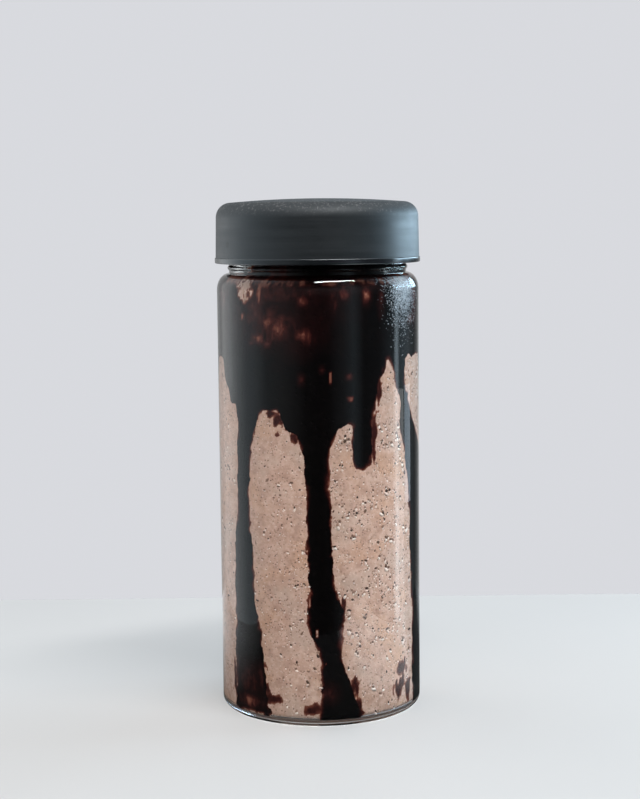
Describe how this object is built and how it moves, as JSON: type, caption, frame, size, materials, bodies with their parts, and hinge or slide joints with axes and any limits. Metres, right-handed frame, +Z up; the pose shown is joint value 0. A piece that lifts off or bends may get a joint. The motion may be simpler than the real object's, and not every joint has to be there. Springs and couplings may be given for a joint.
{
  "type": "milkshake",
  "caption": "Chocolate milkshake in a tall clear glass jar with a dark screw lid, with chocolate sauce run down inside the glass, to stand on a table or shelf.",
  "frame": {"origin": "centre of the jar's foot, on the surface that it stands on", "axes": "+Z up along the jar's axis, -Y towards the side that the picture shows, +X to that side's right"},
  "size_m": [0.068, 0.068, 0.1698],
  "materials": {
    "glass": "clear smooth glass with fine condensation",
    "lid_plastic": "satin charcoal plastic",
    "shake": "thick beige-brown shake with fine dark specks and small bubbles",
    "sauce": "glossy near-black chocolate sauce, red-brown where thin"
  },
  "bodies": {
    "root": {"jar": "glass", "lid": "lid_plastic", "milkshake": "shake", "chocolate_sauce": "sauce"}
  },
  "joints": []
}
